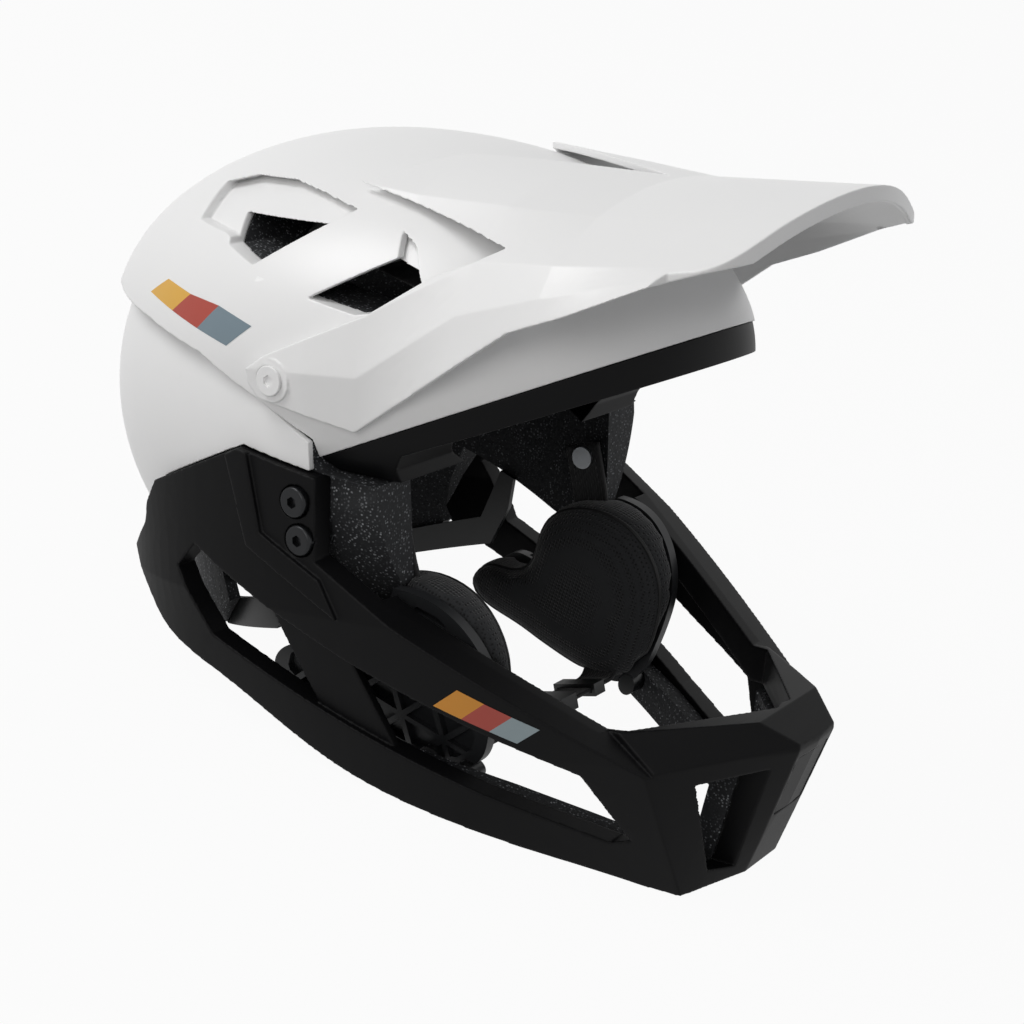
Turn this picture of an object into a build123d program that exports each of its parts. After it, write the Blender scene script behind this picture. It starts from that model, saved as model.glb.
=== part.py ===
from build123d import *
from functools import cache
import math
import os

# Full face downhill bicycle helmet, millimetres
# Worn frame: X to the wearer's left, Y to the back, Z up, zero on the centre plane
# level with the temple corner of the face opening
# Side shares are of length and height, plan shares of half width and length,
# front shares of half width and height, spot shares of all three

# Driving sizes that the outlines are shares of
body_length = 340.0
body_height = 288.0
half_width = 120.0
overrun = 600.0
unit_radius = 1.0
across = (1, 0, 0)
forward = (0, -1, 0)
upward = (0, 0, 1)

# Upper shell
dome_half_width = 110.0
dome_front = 160.0
dome_rear = 131.5
dome_rise = 84.0
dome_centre_share = (0.176, 0.146)
shell_wall = 3.0
shell_seam = 0.8
seat_gap = 0.3
brow_line_shares = ((0.072, 0.035), (-0.285, 0.201))
groove_shares = ((0.072, 0.062), (0.135, 0.111), (0.221, 0.163), (0.326, 0.194), (0.44, 0.215))

# Side vents in the upper shell
scoop_depth = 4.0
scoop_rim = 3.0
vent_inner_reach = 30.0
scoop_shares = (
    (0.3, 0.37), (0.29, 0.325), (0.228, 0.315), (0.166, 0.2865), (0.12, 0.267), (0.079, 0.254),
    (0.02, 0.238), (-0.03, 0.231), (-0.055, 0.25), (-0.02, 0.315), (0.01, 0.336), (0.127, 0.37),
    (0.181, 0.382), (0.25, 0.383),
)
rear_vent_shares = ((0.2304, 0.338), (0.092, 0.332), (0.15, 0.2735), (0.2147, 0.3021))
front_vent_shares = (
    (0.002, 0.299), (-0.0382, 0.2794), (-0.03, 0.24), (0.018, 0.2318), (0.095, 0.252), (0.085, 0.268),
)
bridge_shares = ((0.05, 0.37), (0.012, 0.356), (-0.0077, 0.3012), (0.1, 0.235), (0.18, 0.2705))

# Lower shell
skirt_half_width = 108.0
skirt_front = 150.0
skirt_rear = 132.0
skirt_rise = 111.0
skirt_centre_share = (0.176, 0.052)
skirt_low_shares = (
    (0.072, 0.02), (0.162, 0.0445), (0.314, -0.031), (0.345, -0.075), (0.384, -0.148), (0.44, -0.19),
    (0.6, -0.2),
)
exhaust_inner = 14.0
exhaust_width = 28.0
exhaust_height = 14.0
exhaust_centre_share = 0.16
exhaust_corner = 4.0

# Brow trim
brow_wall = 2.4
brow_inset = 1.0
brow_flange = 26.0
brow_low_shares = ((-0.4, 0.205), (-0.026, 0.046), (-0.013, 0.024), (-0.011, 0.003), (0.058, 0.017))

# Head room inside the foam liners
head_half_width = 82.0
head_half_length = 109.0
head_centre_share = (0.144, 0.146)
head_rise = 57.0
head_drop = 200.0
head_taper_share = 0.932
air_channel_depth = 6.0
air_channel_width = 12.0
air_channel_places = (0.0, 32.0)
collar_wall = 6.0
collar_low_share = -0.36
collar_top_share = -0.13
rear_liner_shares = (
    (0.003, -0.146), (0.035, -0.215), (0.106, -0.18), (0.194, -0.128), (0.247, -0.1), (0.265, -0.156),
    (0.274, -0.229), (0.315, -0.281),
)
lip_shares = ((0.294, -0.174), (0.384, -0.152), (0.44, -0.194), (0.6, -0.204))
neck_trim_height = 3.0
neck_trim_share = 0.347

# Chin guard
guard_depth = 10.0
guard_tail = 24.0
ledge_depth = 18.0
bevel_inner_reach = 30.0
bevel_outer_reach = 12.0
guard_side_shares = (
    (0.313, -0.033), (0.162, 0.042), (0.059, 0.014), (0.0, 0.0), (-0.004, -0.144), (-0.241, -0.312),
    (-0.379, -0.306), (-0.418, -0.339), (-0.421, -0.345), (-0.35, -0.547), (-0.312, -0.557), (-0.271, -0.547),
)
guard_belly_shares = (
    (-0.179, -0.512), (-0.05, -0.458), (0.06, -0.405), (0.138, -0.354), (0.232, -0.295), (0.329, -0.226),
)
guard_rear_shares = ((0.376, -0.146), (0.341, -0.101), (0.335, -0.069))
guard_level_shares = (0.07, -0.174, -0.347, -0.556)
guard_nose_shares = ((0.115, -0.44), (0.123, -0.42), (0.123, -0.417), (0.1, -0.348))
guard_middle_shares = (-0.445, -0.425, -0.42, -0.35)
guard_corner_shares = ((0.72, -0.283), (0.717, -0.29), (0.55, -0.3), (0.35, -0.312))
guard_flank_shares = (
    ((0.8, -0.176), (0.855, 0.0), (0.915, 0.118), (0.918, 0.206), (0.875, 0.309), (0.79, 0.376)),
    ((0.79, -0.176), (0.892, 0.0), (0.929, 0.118), (0.933, 0.206), (0.892, 0.309), (0.808, 0.376)),
    ((0.667, -0.176), (0.808, 0.0), (0.85, 0.118), (0.85, 0.206), (0.825, 0.309), (0.75, 0.376)),
    ((0.5, -0.176), (0.708, 0.0), (0.75, 0.118), (0.75, 0.206), (0.708, 0.309), (0.65, 0.376)),
)
window_shares = (
    (0.237, -0.107), (0.194, -0.135), (0.106, -0.186), (0.028, -0.234), (-0.121, -0.315), (-0.229, -0.368),
    (-0.268, -0.469), (-0.244, -0.476), (-0.118, -0.418), (0.006, -0.352), (0.221, -0.239), (0.268, -0.145),
)
strut_recess = 3.0
strut_wall = 4.0
strut_shares = ((0.129, -0.172), (0.032, -0.215), (-0.015, -0.368), (0.074, -0.33))
ledge_shares = (
    (-0.004, -0.12), (-0.2, -0.28), (-0.46, -0.28), (-0.46, -0.375), (-0.379, -0.354), (-0.247, -0.36),
    (-0.018, -0.196),
)
bevel_inner_shares = ((0.829, -0.0035, -0.144), (0.548, -0.241, -0.3125), (0.198, -0.38, -0.306))
bevel_outer_shares = ((0.893, 0.0265, -0.174), (0.55, -0.3, -0.358), (0.1225, -0.417, -0.338))
bevel_plan_shares = ((0.5, -0.241), (0.55, -0.47), (1.333, -0.47), (1.333, 0.059), (0.708, 0.059))
rib_height = 2.0
rib_shares = (
    (0.147, 0.038), (0.162, 0.041), (0.179, 0.031), (0.15, -0.09), (0.026, -0.174), (0.05, -0.122),
    (0.129, -0.069),
)
mouth_shares = ((0.385, -0.382), (0.183, -0.372), (0.162, -0.53), (0.262, -0.525))
nose_plate_shares = ((0.104, -0.362), (0.092, -0.452))
nose_plate_wall = 1.6
nose_pocket_depth = 2.0
nose_plate_gap = 0.05

# Foam inside the chin guard
guard_foam = 8.9
guard_foam_shares = (
    (-0.262, -0.368), (-0.5, -0.368), (-0.5, -0.543), (-0.265, -0.536), (-0.179, -0.502), (-0.05, -0.448),
    (0.059, -0.396), (0.029, -0.37), (-0.118, -0.426), (-0.25, -0.485), (-0.274, -0.472),
)

# Screws of the chin guard
guard_screw_shares = ((0.085, -0.021), (0.079, -0.073))
screw_seat_share = 0.893
screw_head_radius = 6.2
screw_head_height = 3.4
screw_round = 1.2
screw_socket_radius = 2.4
screw_socket_depth = 2.0
screw_shank_radius = 2.5
screw_length = 19.0
screw_clearance = 0.15
insert_radius = 5.0
insert_length = 8.0
insert_depth = 12.2

# Visor
visor_wall = 2.8
visor_lip = 6.0
visor_lip_wall = 2.6
visor_station_shares = (-0.47, -0.347, -0.22, -0.12, 0.0, 0.065, 0.141)
visor_crown_shares = (0.4, 0.397, 0.3945, 0.41, 0.43, 0.4385, 0.443)
visor_crease_shares = (
    ((0.433, 0.366), (0.65, 0.33), (0.717, 0.316), (0.783, 0.302)),
    ((0.458, 0.365), (0.692, 0.323), (0.75, 0.3125), (0.817, 0.299)),
    ((0.483, 0.363), (0.733, 0.315), (0.8, 0.278), (0.85, 0.229)),
    ((0.542, 0.371), (0.725, 0.309), (0.817, 0.247), (0.8625, 0.174)),
    ((0.55, 0.377), (0.85, 0.233), (0.8875, 0.156), (0.8625, 0.069)),
    ((0.558, 0.386), (0.886, 0.233), (0.929, 0.156), (0.906, 0.08)),
    ((0.567, 0.39), (0.926, 0.215), (0.952, 0.156), (0.939, 0.097)),
)
visor_plan_shares = (
    (0.0, -0.4485), (0.25, -0.441), (0.5, -0.4205), (0.683, -0.388), (0.717, -0.353), (1.1, -0.3),
    (1.1, 0.176), (0.583, 0.176), (0.542, 0.0676), (0.254, 0.0118), (0.0, -0.205),
)
visor_side_shares = (
    (0.126, 0.116), (0.021, 0.086), (0.007, 0.082), (-0.056, 0.131), (-0.188, 0.234), (-0.253, 0.26),
    (-0.34, 0.302), (-0.387, 0.319), (-0.485, 0.3455), (-0.485, 0.52), (0.176, 0.52), (0.176, 0.41),
    (0.056, 0.382), (-0.147, 0.326), (-0.12, 0.309), (-0.07, 0.286), (-0.006, 0.236), (0.115, 0.174),
    (0.138, 0.155), (0.137, 0.135),
)
pivot_share = (0.106, 0.142)
pivot_boss_radius = 8.5
pivot_boss_wall = 2.0
pivot_seat_share = 0.936
pivot_head_radius = 5.8
pivot_head_height = 1.2
pivot_head_gap = 0.2
pivot_head_round = 0.4
pivot_socket_depth = 0.9
pivot_shank_radius = 2.5
pivot_hole_gap = 0.3
pivot_shank_length = 14.0
pivot_insert_seat = 104.8
washer_radius = 6.5
washer_gap = 0.1
washer_wall = 0.5

# Cheek pads and their plates
pad_shares = (
    (0.058, -0.152), (-0.021, -0.137), (-0.068, -0.158), (-0.106, -0.212), (-0.117, -0.262), (-0.113, -0.31),
    (-0.1, -0.365), (-0.085, -0.403), (-0.058, -0.426), (-0.02, -0.43), (0.03, -0.413), (0.076, -0.391),
    (0.138, -0.36), (0.188, -0.337), (0.208, -0.311), (0.196, -0.28), (0.163, -0.263), (0.13, -0.268),
    (0.106, -0.255), (0.092, -0.21), (0.08, -0.176),
)
pad_middle_share = (0.03, -0.28)
pad_inner = 48.0
pad_outer = 84.0
pad_section_shares = ((0.0, 0.62), (0.12, 0.86), (0.36, 1.0), (0.7, 1.0), (1.0, 0.93))
pad_channel_depth = 4.0
pad_channel_width = 3.0
pad_channel_slope = 20.0
plate_wall = 2.0
plate_rib_height = 3.0
plate_rib_width = 2.4
plate_rib_pitch = 17.0
plate_rib_angles = (25.0, 85.0, 145.0)
plate_rib_count = 4
plate_scale_share = 0.93
field_scale_share = 0.83
plate_corner_shares = ((0.652, -0.115, -0.174), (0.76, 0.215, -0.174), (0.548, -0.115, -0.347))
snap_radius = 4.5
snap_length = 6.0
snap_shares = ((-0.056, -0.42), (-0.012, -0.404))

# Comfort pads on the foam
pad_gap = 0.4
pad_thickness = 9.0
brow_pad_shares = ((-0.3, 0.235), (-0.02, 0.105), (0.02, 0.17), (-0.26, 0.31))
crown_pad_width = 26.0
crown_pad_reach_shares = (-0.03, 0.38)
crown_pad_places = (0.0, 44.0)
crown_pad_low_share = 0.2
nape_pad_shares = ((0.3, 0.07), (0.3, -0.09), (0.5, -0.1), (0.5, 0.09))
nape_pad_inner = 9.0
nape_pad_outer = 60.0

# Fit cradle and dial
cradle_inset = 0.3
cradle_wall = 2.6
cradle_shares = (
    (0.165, -0.14), (0.185, -0.13), (0.215, -0.212), (0.315, -0.243), (0.6, -0.165),
    (0.6, -0.215), (0.315, -0.285), (0.2, -0.255), (0.172, -0.19),
)
dial_radius = 12.5
dial_height = 11.0
dial_gap = 0.4
dial_share = -0.2
dial_teeth = 18
dial_tooth_radius = 1.3
dial_edge = 1.5
dial_room = 7.5
dial_pin_radius = 3.0
cradle_pin_gap = 0.1
cradle_pad_radius = 12.0

# Chin strap and buckle
strap_width = 18.0
strap_wall = 1.8
strap_lean = 11.9
strap_foot_share = (0.0, -0.0235, -0.41)
strap_route_shares = ((0.583, 0.361), (0.583, 0.29), (0.525, 0.046), (0.433, 0.0), (0.15, 0.0))
strap_slot_gap = 0.6
strap_bends = (20.0, 16.0, 10.0)
anchor_radius = 5.0
anchor_head = 1.6
anchor_shank_radius = 2.0
anchor_base = 5.0
anchor_length = 10.0
anchor_along_share = 0.3
buckle_width = 22.0
buckle_thickness = 7.0
buckle_wall = 1.4
buckle_half = 19.0
buckle_round = 1.6
tongue_width = 15.0
tongue_thickness = 2.6
tongue_reach = 14.0
tongue_gap = 0.3
button_width = 8.0
button_length = 12.0
button_height = 1.8
button_travel = 1.0
keeper_length = 8.0
keeper_wall = 1.6


def at(share):
    """Side view place, Y and Z, from shares of length and height."""
    return share[0] * body_length, share[1] * body_height


def outline(shares):
    return [at(share) for share in shares]


def spot(share):
    """Place in space from shares of half width, length and height."""
    return Vector(share[0] * half_width, share[1] * body_length, share[2] * body_height)


def shifted(points, back, up):
    return [(y + back, z + up) for y, z in points]


def floor_at(y):
    """Height of the surface that the helmet rests on, from the flat under the chin."""
    front = at(guard_side_shares[-1])
    rear = at(guard_belly_shares[0])
    return front[1] + (y - front[0]) * (rear[1] - front[1]) / (rear[0] - front[0])


def both_sides(left):
    return left + mirror(left, about=Plane.YZ)


def side_prism(points, near=0.0, far=overrun):
    """Closed side view outline carried from near to far on both flanks."""
    face = make_face(Plane.YZ * Polyline(*points, close=True))
    if near == 0.0:
        return extrude(face, amount=far, both=True)
    left = extrude(face.moved(Location((near, 0, 0))), amount=far - near, dir=across)
    return both_sides(left)


def front_prism(points):
    """Closed front view outline carried forward from the middle, on both flanks."""
    left = extrude(make_face(Plane.XZ * Polyline(*points, close=True)), amount=overrun, dir=forward)
    return both_sides(left)


def cross_rod(y, z, radius, inner, outer):
    """Round rod along X on the left flank."""
    rod = Cylinder(radius, outer - inner)
    return Pos((inner + outer) / 2, y, z) * Rot(Y=90) * rod


def egg(half_x, front, rear, rise):
    """Solid egg whose long axis runs along Y, with its own length ahead and behind."""
    ahead = EllipticalCenterArc((0, 0), unit_radius, front, start_angle=180, arc_size=90)
    behind = EllipticalCenterArc((0, 0), unit_radius, rear, start_angle=90, arc_size=90)
    profile = make_face(Wire([ahead, behind, Line((0, -front), (0, rear))]))
    return scale(revolve(profile, axis=Axis.Y), by=(half_x, 1, rise))


@cache
def dome(inset=0.0):
    shape = egg(dome_half_width - inset, dome_front - inset, dome_rear - inset, dome_rise - inset)
    return Pos(0, *at(dome_centre_share)) * shape


@cache
def skirt(inset=0.0):
    shape = egg(skirt_half_width - inset, skirt_front - inset, skirt_rear - inset, skirt_rise - inset)
    return Pos(0, *at(skirt_centre_share)) * shape


@cache
def head_room(inset=0.0):
    """Hollow for the head: a round top over a slightly tapered oval well."""
    rise = head_rise - inset
    top = EllipticalCenterArc((0, 0), unit_radius, rise, start_angle=0, arc_size=90)
    side = Polyline((0, rise), (0, -head_drop), (head_taper_share, -head_drop), (unit_radius, 0))
    profile = Plane.XZ * make_face(Wire([top, *side.edges()]))
    shape = scale(revolve(profile, axis=Axis.Z), by=(head_half_width - inset, head_half_length - inset, 1))
    return Pos(0, *at(head_centre_share)) * shape


def inset_outline(points, inset):
    """Points from the centre line to the far end, each moved to the left of its run."""
    moved = []
    last = len(points) - 1
    for index, (x, y) in enumerate(points):
        before = points[max(index - 1, 0)]
        after = points[min(index + 1, last)]
        run_x = after[0] - before[0]
        run_y = after[1] - before[1]
        if index == 0:
            run_x = after[0]
            run_y = 0.0
        size = math.hypot(run_x, run_y)
        moved.append((x - inset * run_y / size, y + inset * run_x / size))
    return moved


def guard_outline(level, inset):
    """Closed plan outline of the guard at one level."""
    points = [(0.0, guard_middle_shares[level] * body_length)]
    front = (guard_nose_shares[level], guard_corner_shares[level])
    for x_share, y_share in front + guard_flank_shares[level]:
        points.append((x_share * half_width, y_share * body_length))
    points = inset_outline(points, inset)
    points.append((points[-1][0], points[-1][1] + guard_tail + inset))
    height = guard_level_shares[level] * body_height
    half = [Vector(x, y, height) for x, y in points]
    other = [Vector(-x, y, height) for x, y in points]
    edges = [
        Line(half[0], half[1]),
        Line(half[1], half[2]),
        Spline(*half[2:-1]),
        Line(half[-2], half[-1]),
        Line(half[-1], other[-1]),
        Line(other[-1], other[-2]),
        Spline(*reversed(other[2:-1])),
        Line(other[2], other[1]),
        Line(other[1], other[0]),
    ]
    return make_face(Wire(edges))


@cache
def guard_block(inset=0.0):
    levels = range(len(guard_level_shares))
    return loft([guard_outline(level, inset) for level in levels][::-1], ruled=True)


@cache
def guard_profile():
    """Side view outline of the chin guard with its smooth belly, carried across."""
    start = outline(guard_side_shares)
    belly = outline(guard_belly_shares)
    rear = outline(guard_rear_shares)
    leaving = (belly[0][0] - start[-1][0], belly[0][1] - start[-1][1])
    reaching = (rear[0][0] - belly[-1][0], rear[0][1] - belly[-1][1])
    edges = Polyline(*start, belly[0]).edges()
    edges += Spline(*belly, tangents=[leaving, reaching]).edges()
    edges += Polyline(belly[-1], *rear, start[0]).edges()
    return extrude(make_face(Plane.YZ * Wire(edges)), amount=overrun, both=True)


def bevel_section(inner, outer):
    """Upright slice above the line from the inner edge to the outer ridge."""
    run = (outer - inner).normalized()
    low = outer + run * bevel_outer_reach
    high = inner - run * bevel_inner_reach
    points = [low, high, Vector(high.X, high.Y, body_height), Vector(low.X, low.Y, body_height)]
    return make_face(Polyline(*points, close=True))


def side_bevel(temple, corner, ridge):
    """Everything above the sloped plane of the left rim, from the temple to the front corner."""
    rim = corner - temple
    slab = Plane(origin=temple, x_dir=rim, z_dir=rim.cross(ridge - temple))
    above = slab * Pos(0, 0, body_height / 2) * Box(body_length, body_length, body_height)
    plan = [(x * half_width, y * body_length) for x, y in bevel_plan_shares]
    zone = extrude(make_face(Polyline(*plan, close=True)), amount=body_height, both=True)
    return above & zone


def bevel_tool():
    """Solids above the sloped rim of the guard, both flanks and the front corners."""
    pairs = [(spot(inner), spot(outer)) for inner, outer in zip(bevel_inner_shares, bevel_outer_shares)]
    front = loft([bevel_section(*pairs[1]), bevel_section(*pairs[2])], ruled=True)
    return [side_bevel(pairs[0][0], *pairs[1]), front]


def guard_screw_places():
    return outline(guard_screw_shares)


def mouth_holes():
    return front_prism([(x * half_width, z * body_height) for x, z in mouth_shares])


def nose_outline(grow):
    (top_x, top_z), (low_x, low_z) = nose_plate_shares
    top = (top_x * half_width + grow, top_z * body_height + grow)
    low = (low_x * half_width + grow, low_z * body_height - grow)
    return front_prism([(0.0, top[1]), top, low, (0.0, low[1])])


def chin_guard():
    """Moulded guard: a wall under a bevelled rim, windows with a strut, two mouth holes."""
    ring = guard_block() - guard_block(guard_depth)
    ledge = (guard_block() - guard_block(ledge_depth)) & side_prism(outline(ledge_shares))
    body = (ring + ledge) & guard_profile()
    for bevel in bevel_tool():
        body -= both_sides(bevel)
    body -= side_prism(outline(window_shares))
    strut = guard_block(strut_recess) - guard_block(strut_recess + strut_wall)
    body += strut & side_prism(outline(strut_shares))
    rib = guard_block(-rib_height) - guard_block()
    body += rib & side_prism(outline(rib_shares))
    body -= mouth_holes()
    body -= (guard_block() - guard_block(nose_pocket_depth)) & nose_outline(seat_gap)
    seat = screw_seat_share * half_width
    for y, z in guard_screw_places():
        body -= both_sides(cross_rod(y, z, screw_head_radius + seat_gap, seat, half_width))
        body -= both_sides(cross_rod(y, z, screw_shank_radius + screw_clearance, seat - screw_length, seat))
    return body


def nose_plate():
    """Bare plate seated in the pocket on the nose of the guard."""
    end = nose_pocket_depth - nose_plate_gap
    return (guard_block(end - nose_plate_wall) - guard_block(end)) & nose_outline(0.0)


def chin_guard_liner():
    """Foam behind the front and the lower rail of the guard."""
    start = guard_depth + seat_gap
    foam = guard_block(start) - guard_block(start + guard_foam)
    foam &= side_prism(outline(guard_foam_shares))
    foam -= mouth_holes()
    for y, z in outline(snap_shares):
        foam -= both_sides(cross_rod(y, z, snap_radius + seat_gap, 0.0, half_width))
    return foam


def screw(head, edge, socket_depth, shank_radius, length):
    """Round head screw along Z with its head seat at zero and a hexagon socket."""
    radius, height = head
    top = Pos(0, 0, height / 2) * Cylinder(radius, height)
    top = fillet(top.edges().group_by(Axis.Z)[-1], edge)
    shank = Pos(0, 0, -length / 2) * Cylinder(shank_radius, length)
    socket = extrude(RegularPolygon(screw_socket_radius, 6), amount=socket_depth)
    return top + shank - Pos(0, 0, height - socket_depth) * socket


def guard_screws():
    seat = screw_seat_share * half_width
    head = (screw_head_radius, screw_head_height)
    one = screw(head, screw_round, screw_socket_depth, screw_shank_radius, screw_length)
    left = [Pos(seat, y, z) * Rot(Y=90) * one for y, z in guard_screw_places()]
    return Compound(left + [mirror(piece, about=Plane.YZ) for piece in left])


def insert_cut(y, z, radius):
    start = screw_seat_share * half_width - insert_depth
    return cross_rod(y, z, radius, start - insert_length, start)


def guard_inserts():
    left = []
    for y, z in guard_screw_places():
        bore = insert_cut(y, z, screw_shank_radius + screw_clearance)
        left.append(insert_cut(y, z, insert_radius) - bore)
    return Compound(left + [mirror(piece, about=Plane.YZ) for piece in left])


def upper_shell():
    """Upper shell with a sunk scoop on each flank, two vents in it and a bridge between them."""
    lines = [at(brow_line_shares[0])] + outline(groove_shares)
    front = at(brow_line_shares[1])
    slope = (front[1] - lines[0][1]) / (front[0] - lines[0][0])
    ahead = (-overrun, front[1] - slope * (overrun + front[0]))
    top = [(overrun, lines[-1][1]), (overrun, overrun), (-overrun, overrun), ahead]
    skin = dome() - dome(shell_wall)
    shell = skin & side_prism(lines + top)
    scoop = outline(scoop_shares)
    rim = make_face(Plane.YZ * Polyline(*scoop, close=True))
    rim = offset(rim, amount=scoop_rim, kind=Kind.INTERSECTION)
    rim = both_sides(extrude(rim.moved(Location((vent_inner_reach, 0, 0))), amount=overrun, dir=across))
    shell += (dome() - dome(scoop_depth + shell_wall)) & rim
    shell -= side_prism(scoop, vent_inner_reach) - dome(scoop_depth)
    for shares in (rear_vent_shares, front_vent_shares):
        shell -= side_prism(outline(shares), vent_inner_reach)
    shell += skin & side_prism(outline(bridge_shares), vent_inner_reach)
    y, z = at(pivot_share)
    hole = cross_rod(y, z, pivot_shank_radius + pivot_hole_gap, vent_inner_reach, half_width)
    return shell - both_sides(hole)


def exhaust_ports():
    """Two rounded ports through the rear of the helmet."""
    port = Box(exhaust_width, body_length, exhaust_height)
    port = fillet(port.edges().filter_by(Axis.Y), exhaust_corner)
    middle = exhaust_inner + exhaust_width / 2
    back = body_length / 2 + at(dome_centre_share)[0]
    return both_sides(Pos(middle, back, exhaust_centre_share * body_height) * port)


def lower_shell():
    upper = shifted(outline(groove_shares), 0.0, -shell_seam)
    low = outline(skirt_low_shares)
    shell = (skirt() - skirt(shell_wall)) & side_prism(upper + [(overrun, upper[-1][1])] + low[::-1])
    return shell - exhaust_ports() - dial_notch()


def brow_trim():
    """Moulded edge of the face opening: an outer band and an inner flange."""
    rear, front = outline(brow_line_shares)
    slope = (front[1] - rear[1]) / (front[0] - rear[0])
    low = outline(brow_low_shares)
    ahead = (low[0][0], front[1] + slope * (low[0][0] - front[0]))
    band = (dome(brow_inset) - dome(brow_inset + brow_flange)) & side_prism([rear, ahead] + low)
    raised = shifted(low, brow_wall, brow_wall)
    tops = [(raised[-1][0], body_height), (raised[0][0], body_height)]
    return band - (dome(brow_inset + brow_wall) & side_prism(raised + tops))


def crown_liner():
    """Upper foam, open at the vents, with air channels over the crown."""
    step = brow_wall + seat_gap
    low = shifted(outline(brow_low_shares), step, step)
    corner = low[-1][0] - seat_gap * 2
    low[-1] = (corner, low[-1][1])
    low.append((corner, at(brow_line_shares[0])[1] + seat_gap))
    groove = shifted(outline(groove_shares), 0.0, seat_gap)
    points = [(-overrun, low[0][1] + (overrun + low[0][0]) / 2)] + low + groove
    points += [(overrun, groove[-1][1]), (overrun, overrun), (-overrun, overrun)]
    foam = dome(shell_wall + brow_inset) - head_room()
    for bar in channel_bars():
        foam -= head_room(-air_channel_depth) & bar
    foam &= side_prism(points)
    scoop = outline(scoop_shares)
    pocket = make_face(Plane.YZ * Polyline(*scoop, close=True))
    pocket = offset(pocket, amount=scoop_rim + seat_gap, kind=Kind.INTERSECTION)
    pocket = extrude(pocket.moved(Location((vent_inner_reach, 0, 0))), amount=overrun, dir=across)
    pocket = both_sides(pocket)
    foam -= pocket - dome(scoop_depth + shell_wall + seat_gap)
    for shares in (rear_vent_shares, front_vent_shares):
        foam -= side_prism(outline(shares), vent_inner_reach)
    return foam - insert_pockets()


def channel_bars():
    """Upright slabs whose overlap with the grown head room gives the air channels."""
    bars = []
    middle = at(head_centre_share)
    for place in air_channel_places:
        slab = Box(air_channel_width, body_length / 2, body_height)
        bar = Pos(place, middle[0], middle[1] + body_height / 2) * slab
        bars.append(bar)
        if place > 0.0:
            bars.append(mirror(bar, about=Plane.YZ))
    return bars


def insert_pockets():
    y, z = at(pivot_share)
    end = pivot_insert_seat - insert_length - seat_gap
    return both_sides(cross_rod(y, z, insert_radius + seat_gap, end, half_width))


def rear_liner():
    """Lower foam round the ears and the nape, with the collar that carries the neck trim."""
    start = neck_trim_share * body_length
    low = shifted([(start, floor_at(start)), (overrun, floor_at(overrun))], 0.0, neck_trim_height)
    groove = shifted(outline(groove_shares), 0.0, -shell_seam)
    corner = outline((brow_line_shares[0], brow_low_shares[-1], brow_low_shares[-2]))
    corner = shifted(corner, seat_gap, -seat_gap)
    front = rear_liner_shares[0][0] * body_length
    top = [(overrun, groove[-1][1])] + groove[:0:-1]
    top += [(corner[0][0], groove[0][1]), corner[0], corner[1], (front, corner[2][1])]
    foam = skirt(shell_wall + seat_gap) - head_room()
    foam = foam - anchor_pocket() - mirror(anchor_pocket(), about=Plane.YZ)
    foam &= side_prism(outline(rear_liner_shares) + low + top)
    lip = outline(lip_shares)
    end = lip[-1][0]
    lip += [(end, floor_at(end) + neck_trim_height), low[0]] + outline(rear_liner_shares)[-2:][::-1]
    foam += (collar() - head_room()) & side_prism(lip)
    foam -= guard_profile() - guard_block(guard_depth + seat_gap)
    foam -= exhaust_ports()
    for y, z in guard_screw_places():
        foam -= both_sides(insert_cut(y, z, insert_radius + seat_gap))
        foam -= both_sides(cross_rod(y, z, screw_shank_radius + seat_gap, head_half_width, half_width))
    return foam - dial_notch()


@cache
def collar():
    """Oval ring below the lower shell."""
    grown = collar_wall - head_half_width * (unit_radius - head_taper_share) / 2
    high = (collar_top_share - collar_low_share) * body_height
    face = Ellipse(head_half_width + grown, head_half_length + grown)
    place = Pos(0, at(head_centre_share)[0], collar_low_share * body_height)
    return place * extrude(face, amount=high, dir=upward)


def dial_place():
    """Centre of the dial's front face on the rear of the cradle."""
    z = dial_share * body_height
    depth = at(head_centre_share)[1] - z
    taper = unit_radius - (unit_radius - head_taper_share) * depth / head_drop
    rear = at(head_centre_share)[0] + (head_half_length - cradle_inset) * taper
    return rear + dial_gap, z


def dial_notch():
    """Room for the dial in the rear of the foam and the neck trim, open below."""
    y, z = dial_place()
    reach = dial_radius + dial_room
    box = Box(reach * 2, body_length, body_height)
    round_top = Cylinder(reach, body_length)
    middle = y - dial_room + body_length / 2
    return Pos(0, middle, z - body_height / 2) * box + Pos(0, middle, z) * Rot(X=90) * round_top


def neck_trim():
    start = neck_trim_share * body_length
    points = [(start, floor_at(start)), (overrun, floor_at(overrun))]
    points += shifted(points[::-1], 0.0, neck_trim_height)
    return ((collar() - head_room()) & side_prism(points)) - dial_notch()


def visor_section(index, near, far):
    """Closed section of the visor between two depths below its outer face."""
    y = visor_station_shares[index] * body_length
    points = [(0.0, visor_crown_shares[index] * body_height)]
    points += [(x * half_width, z * body_height) for x, z in visor_crease_shares[index]]
    rows = [inset_outline(points, -depth) for depth in (near, far)]
    edges = []
    for row, turn in zip(rows, (1, -1)):
        left = [Vector(x, y, z) for x, z in row]
        right = [Vector(-x, y, z) for x, z in row]
        run = Polyline(*left[:0:-1]).edges()
        run += ThreePointArc(left[1], left[0], right[1]).edges()
        run += Polyline(*right[1:]).edges()
        edges += run
    ends = [[Vector(side * row[-1][0], y, row[-1][1]) for row in rows] for side in (1, -1)]
    edges += [Line(*ends[0]), Line(*ends[1])]
    return make_face(Wire.combine(edges)[0])


def visor_plate(near, far):
    stations = range(len(visor_station_shares))
    return loft([visor_section(index, near, far) for index in stations], ruled=True)


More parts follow.
